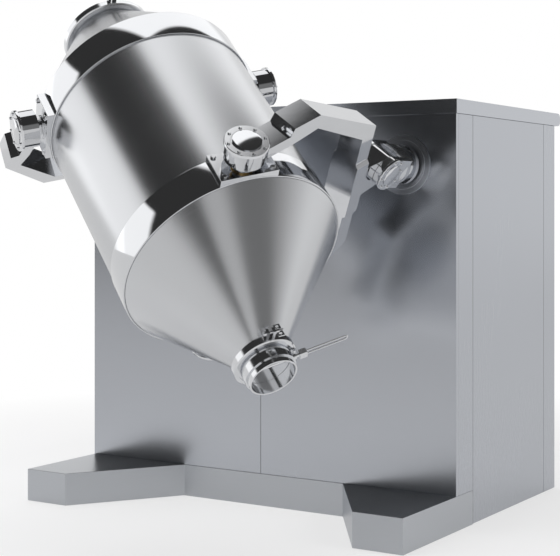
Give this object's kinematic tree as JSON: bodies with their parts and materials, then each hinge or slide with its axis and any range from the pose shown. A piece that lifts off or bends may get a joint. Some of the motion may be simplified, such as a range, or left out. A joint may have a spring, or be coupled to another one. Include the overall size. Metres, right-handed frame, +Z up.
{
  "type": "three-dimensional motion mixer",
  "caption": "Drum mixer on a cabinet: a cone-ended drum held between crossed forks that twist and tumble it, with a charging port, a discharge valve and a legged base.",
  "frame": {"origin": "on the floor, at the middle of the cabinet's footprint", "axes": "+X to the right along the cabinet's front as seen from the drum's side, +Y from the front to the back, +Z up"},
  "size_m": [1.8418, 2.381, 2.1009],
  "materials": {
    "panel_steel": "semi-mirror stainless sheet",
    "base_steel": "brushed stainless",
    "drum_steel": "satin stainless",
    "polished_steel": "mirror polished stainless",
    "bright_steel": "bright turned stainless",
    "bronze": "machined bronze",
    "frame_paint": "grey painted steel",
    "drive_paint": "blue-grey painted casting",
    "dark_steel": "oiled steel",
    "seal_rubber": "matte food-grade rubber"
  },
  "bodies": {
    "cabinet": {"base_frame": "base_steel", "bearing_frame": "frame_paint", "front_panel_left": "panel_steel", "front_panel_right": "panel_steel", "front_columns": "panel_steel", "side_panel_left": "panel_steel", "side_panel_right": "panel_steel", "rear_columns": "panel_steel", "rear_panel": "panel_steel", "door_hinge_pins": "bright_steel", "top_lid": "panel_steel", "shaft_rings": "bright_steel", "bearing_housings": "frame_paint", "shaft_bearings": "dark_steel", "gear_unit": "drive_paint", "gear_stand": "frame_paint", "motor": "drive_paint", "drive_chain": "dark_steel"},
    "service_door": {"service_door": "panel_steel", "door_handle": "bright_steel"},
    "drive_shaft": {"drive_shaft": "bright_steel", "large_sprocket": "dark_steel", "right_hinge_pin": "bright_steel", "right_hinge_caps": "bright_steel", "right_hinge_cap_screws": "bright_steel"},
    "gear_output": {"gear_output_shaft": "dark_steel", "small_sprocket": "dark_steel"},
    "right_fork": {"right_fork": "polished_steel", "right_hub_bushes": "bronze", "lower_trunnion_bushes": "bronze", "lower_trunnion_caps": "bright_steel", "lower_trunnion_cap_screws": "bright_steel"},
    "drum": {"drum_shell": "drum_steel", "lower_band": "drum_steel", "upper_band": "drum_steel", "lower_trunnions": "polished_steel", "upper_trunnions": "polished_steel", "lower_trunnion_bolts": "bright_steel", "upper_trunnion_bolts": "bright_steel", "port_gasket": "seal_rubber", "port_clamp": "drum_steel", "port_clamp_bolt": "bright_steel", "outlet_gasket": "seal_rubber", "outlet_clamp": "drum_steel", "outlet_clamp_bolt": "bright_steel", "valve_body": "drum_steel"},
    "charging_lid": {"charging_lid": "drum_steel"},
    "port_wing_nut": {"port_wing_nut": "bright_steel"},
    "outlet_wing_nut": {"outlet_wing_nut": "bright_steel"},
    "valve": {"valve_disc": "drum_steel", "valve_handle": "drum_steel"},
    "driven_shaft": {"driven_shaft": "bright_steel", "left_hinge_pin": "bright_steel", "left_hinge_caps": "bright_steel", "left_hinge_cap_screws": "bright_steel"},
    "left_fork": {"left_fork": "polished_steel", "left_hub_bushes": "bronze", "upper_trunnion_caps": "bright_steel", "upper_trunnion_cap_screws": "bright_steel"}
  },
  "joints": [
    {"name": "drive_turn", "type": "hinge", "parent": "cabinet", "child": "drive_shaft", "pos_m": [0.67204, -0.736, 1.418], "axis": [0, -1, 0], "range_deg": [0, 24]},
    {"name": "right_hinge", "type": "hinge", "parent": "drive_shaft", "child": "right_fork", "pos_m": [0.67204, -0.736, 1.418], "axis": [0.8151, 0, -0.5793], "range_deg": [-20.3, 0]},
    {"name": "lower_trunnion", "type": "hinge", "parent": "right_fork", "child": "drum", "pos_m": [0.44652, -1.40728, 1.10067], "axis": [-0.5011, 0.5017, -0.7051], "range_deg": [0, 9.7]},
    {"name": "driven_turn", "type": "hinge", "parent": "cabinet", "child": "driven_shaft", "pos_m": [-0.67204, -0.736, 1.418], "axis": [0, -1, 0], "range_deg": [-13.9, 0]},
    {"name": "left_hinge", "type": "hinge", "parent": "driven_shaft", "child": "left_fork", "pos_m": [-0.67204, -0.736, 1.418], "axis": [-0.3348, 0, 0.9423], "range_deg": [0, 4.9]},
    {"name": "gear_output_turn", "type": "hinge", "parent": "cabinet", "child": "gear_output", "pos_m": [0.67204, -0.208, 0.55937], "axis": [0, -1, 0], "range_deg": [0, 53.7]},
    {"name": "charging_lid_lift", "type": "slide", "parent": "drum", "child": "charging_lid", "axis": [-0.6725, 0.2871, 0.6822], "range_m": [0, 0.09]},
    {"name": "port_wing_nut_turn", "type": "hinge", "parent": "drum", "child": "port_wing_nut", "pos_m": [-0.26568, -1.16293, 2.07464], "axis": [0.5446, 0.816, 0.1935], "continuous": true},
    {"name": "outlet_wing_nut_turn", "type": "hinge", "parent": "drum", "child": "outlet_wing_nut", "pos_m": [0.80178, -1.67813, 0.85023], "axis": [0.5446, 0.816, 0.1935], "continuous": true},
    {"name": "valve_turn", "type": "hinge", "parent": "drum", "child": "valve", "pos_m": [0.75282, -1.61772, 0.73329], "axis": [0.6234, 0.7165, 0.313], "range_deg": [0, 90]},
    {"name": "service_door_swing", "type": "hinge", "parent": "cabinet", "child": "service_door", "pos_m": [-0.55, 0.517, 0.81], "axis": [0, 0, 1], "range_deg": [0, 110]}
  ],
  "couplings": [
    {"joint": "right_hinge", "follows": "drive_turn", "ratio": -0.84394},
    {"joint": "lower_trunnion", "follows": "drive_turn", "ratio": 0.40108},
    {"joint": "driven_turn", "follows": "drive_turn", "ratio": -0.5752},
    {"joint": "left_hinge", "follows": "drive_turn", "ratio": 0.20054},
    {"joint": "gear_output_turn", "follows": "drive_turn", "ratio": 2.2353}
  ]
}
